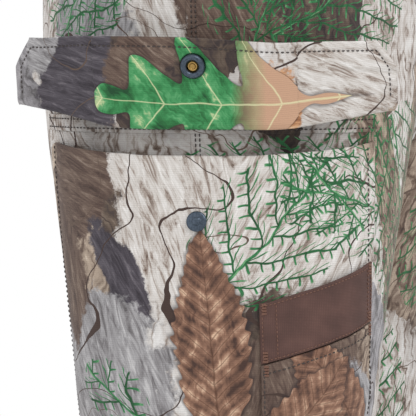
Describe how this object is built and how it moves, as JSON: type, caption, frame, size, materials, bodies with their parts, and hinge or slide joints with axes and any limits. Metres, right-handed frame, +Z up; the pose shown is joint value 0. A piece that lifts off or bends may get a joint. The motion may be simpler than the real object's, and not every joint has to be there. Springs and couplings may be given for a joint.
{
  "type": "chest waders",
  "caption": "Chest waders with bonded rubber boots, shoulder straps, wading belt and flapped thigh pockets, standing as worn.",
  "frame": {"origin": "on the floor at the middle of the ground that the waders cover, under the crotch line", "axes": "+Z up; the wearer faces -Y, so the wearer's right leg is at -X"},
  "size_m": [0.4587, 0.3753, 1.4982],
  "materials": {
    "camo_fabric": "ribbed woven polyester printed with a woodland pattern",
    "brown_fabric": "plain woven polyester",
    "knee_fabric": "heavy woven polyester",
    "webbing": "ribbed webbing",
    "boot_rubber": "satin",
    "sole_rubber": "matt",
    "buckle_plastic": "fine texture",
    "gunmetal": "satin dark plating",
    "foam": "felted"
  },
  "bodies": {
    "waders": {"bib_front": "camo_fabric", "bib_back": "camo_fabric", "crotch_gusset": "camo_fabric", "tool_pocket": "camo_fabric", "chest_pocket": "camo_fabric", "right_leg_front": "camo_fabric", "right_leg_back": "camo_fabric", "right_cargo_pocket": "camo_fabric", "right_flap_band": "camo_fabric", "right_knee_patch": "knee_fabric", "right_boot_band": "boot_rubber", "right_boot_upper": "boot_rubber", "right_boot_outsole": "sole_rubber", "right_boot_insole": "foam", "right_snap_stud": "gunmetal", "right_shoulder_strap": "webbing", "right_buckle_tab": "webbing", "right_buckle_socket": "buckle_plastic", "left_leg_front": "camo_fabric", "left_leg_back": "camo_fabric", "left_cargo_pocket": "camo_fabric", "left_flap_band": "camo_fabric", "left_knee_patch": "knee_fabric", "left_boot_band": "boot_rubber", "left_boot_upper": "boot_rubber", "left_boot_outsole": "sole_rubber", "left_boot_insole": "foam", "left_snap_stud": "gunmetal", "left_shoulder_strap": "webbing", "left_buckle_tab": "webbing", "left_buckle_socket": "buckle_plastic", "clip_panel": "brown_fabric", "back_yoke": "brown_fabric", "chest_zip_tape": "buckle_plastic", "belt_buckle_socket": "buckle_plastic", "wading_belt": "webbing", "belt_loop_right": "webbing", "belt_loop_left": "webbing", "belt_loop_back": "webbing", "ring_tab": "webbing"},
    "right_flap": {"right_flap_middle": "camo_fabric", "right_snap_socket": "gunmetal", "right_snap_cap": "gunmetal"},
    "right_flap_front_end": {"right_flap_front": "camo_fabric"},
    "right_flap_rear_end": {"right_flap_rear": "camo_fabric"},
    "right_plug": {"right_buckle_plug": "buckle_plastic"},
    "right_adjuster": {"right_strap_adjuster": "buckle_plastic"},
    "left_flap": {"left_flap_middle": "camo_fabric", "left_snap_socket": "gunmetal", "left_snap_cap": "gunmetal"},
    "left_flap_front_end": {"left_flap_front": "camo_fabric"},
    "left_flap_rear_end": {"left_flap_rear": "camo_fabric"},
    "left_plug": {"left_buckle_plug": "buckle_plastic"},
    "left_adjuster": {"left_strap_adjuster": "buckle_plastic"},
    "zip_slider": {"chest_zip_slider": "gunmetal"},
    "zip_pull": {"chest_zip_pull": "brown_fabric"},
    "belt_plug": {"belt_buckle_plug": "buckle_plastic"},
    "ring": {"accessory_ring": "gunmetal"}
  },
  "joints": [
    {"name": "right_flap_hinge", "type": "hinge", "parent": "waders", "child": "right_flap", "pos_m": [-0.21403, 0.03519, 0.708], "axis": [0, 1, 0], "range_deg": [-155, 8]},
    {"name": "right_flap_front_fold", "type": "hinge", "parent": "right_flap", "child": "right_flap_front_end", "pos_m": [-0.21403, -0.01481, 0.708], "axis": [-0.2588, 0, 0.9659], "range_deg": [-60.2, 3.3]},
    {"name": "right_flap_rear_fold", "type": "hinge", "parent": "right_flap", "child": "right_flap_rear_end", "pos_m": [-0.21403, 0.08519, 0.708], "axis": [0.2588, 0, -0.9659], "range_deg": [-60.2, 3.3]},
    {"name": "left_flap_hinge", "type": "hinge", "parent": "waders", "child": "left_flap", "pos_m": [0.21403, 0.03519, 0.708], "axis": [0, -1, 0], "range_deg": [0, 155]},
    {"name": "left_flap_front_fold", "type": "hinge", "parent": "left_flap", "child": "left_flap_front_end", "pos_m": [0.21403, -0.01481, 0.708], "axis": [-0.1736, 0, 0.9848], "range_deg": [0, 60.2]},
    {"name": "left_flap_rear_fold", "type": "hinge", "parent": "left_flap", "child": "left_flap_rear_end", "pos_m": [0.21403, 0.08519, 0.708], "axis": [0.1736, 0, -0.9848], "range_deg": [0, 60.2]},
    {"name": "chest_zip_slide", "type": "hinge", "parent": "waders", "child": "zip_slider", "pos_m": [0, 0.47169, 1.2486], "axis": [0, 0, 1], "range_deg": [0, 15.1]},
    {"name": "chest_zip_pull_swing", "type": "hinge", "parent": "zip_slider", "child": "zip_pull", "pos_m": [-0.07715, -0.10884, 1.2486], "axis": [-0.9913, 0.1317, 0], "range_deg": [0, 150]},
    {"name": "belt_buckle_release", "type": "slide", "parent": "waders", "child": "belt_plug", "axis": [1, 0, 0], "range_m": [0, 0.028]},
    {"name": "right_buckle_release", "type": "slide", "parent": "waders", "child": "right_plug", "axis": [0, 0, 1], "range_m": [0, 0.028]},
    {"name": "left_buckle_release", "type": "slide", "parent": "waders", "child": "left_plug", "axis": [0, 0, 1], "range_m": [0, 0.028]},
    {"name": "right_strap_adjust", "type": "slide", "parent": "waders", "child": "right_adjuster", "axis": [0, 0, 1], "range_m": [0, 0.01]},
    {"name": "left_strap_adjust", "type": "slide", "parent": "waders", "child": "left_adjuster", "axis": [0, 0, 1], "range_m": [0, 0.01]},
    {"name": "accessory_ring_swing", "type": "hinge", "parent": "waders", "child": "ring", "pos_m": [0.052, -0.1056, 1.2941], "axis": [-1, 0, 0], "range_deg": [0, 150]}
  ],
  "couplings": [
    {"joint": "right_flap_front_fold", "follows": "right_flap_hinge", "ratio": 0.3871},
    {"joint": "right_flap_rear_fold", "follows": "right_flap_hinge", "ratio": 0.3871},
    {"joint": "left_flap_front_fold", "follows": "left_flap_hinge", "ratio": 0.3871},
    {"joint": "left_flap_rear_fold", "follows": "left_flap_hinge", "ratio": 0.3871}
  ]
}
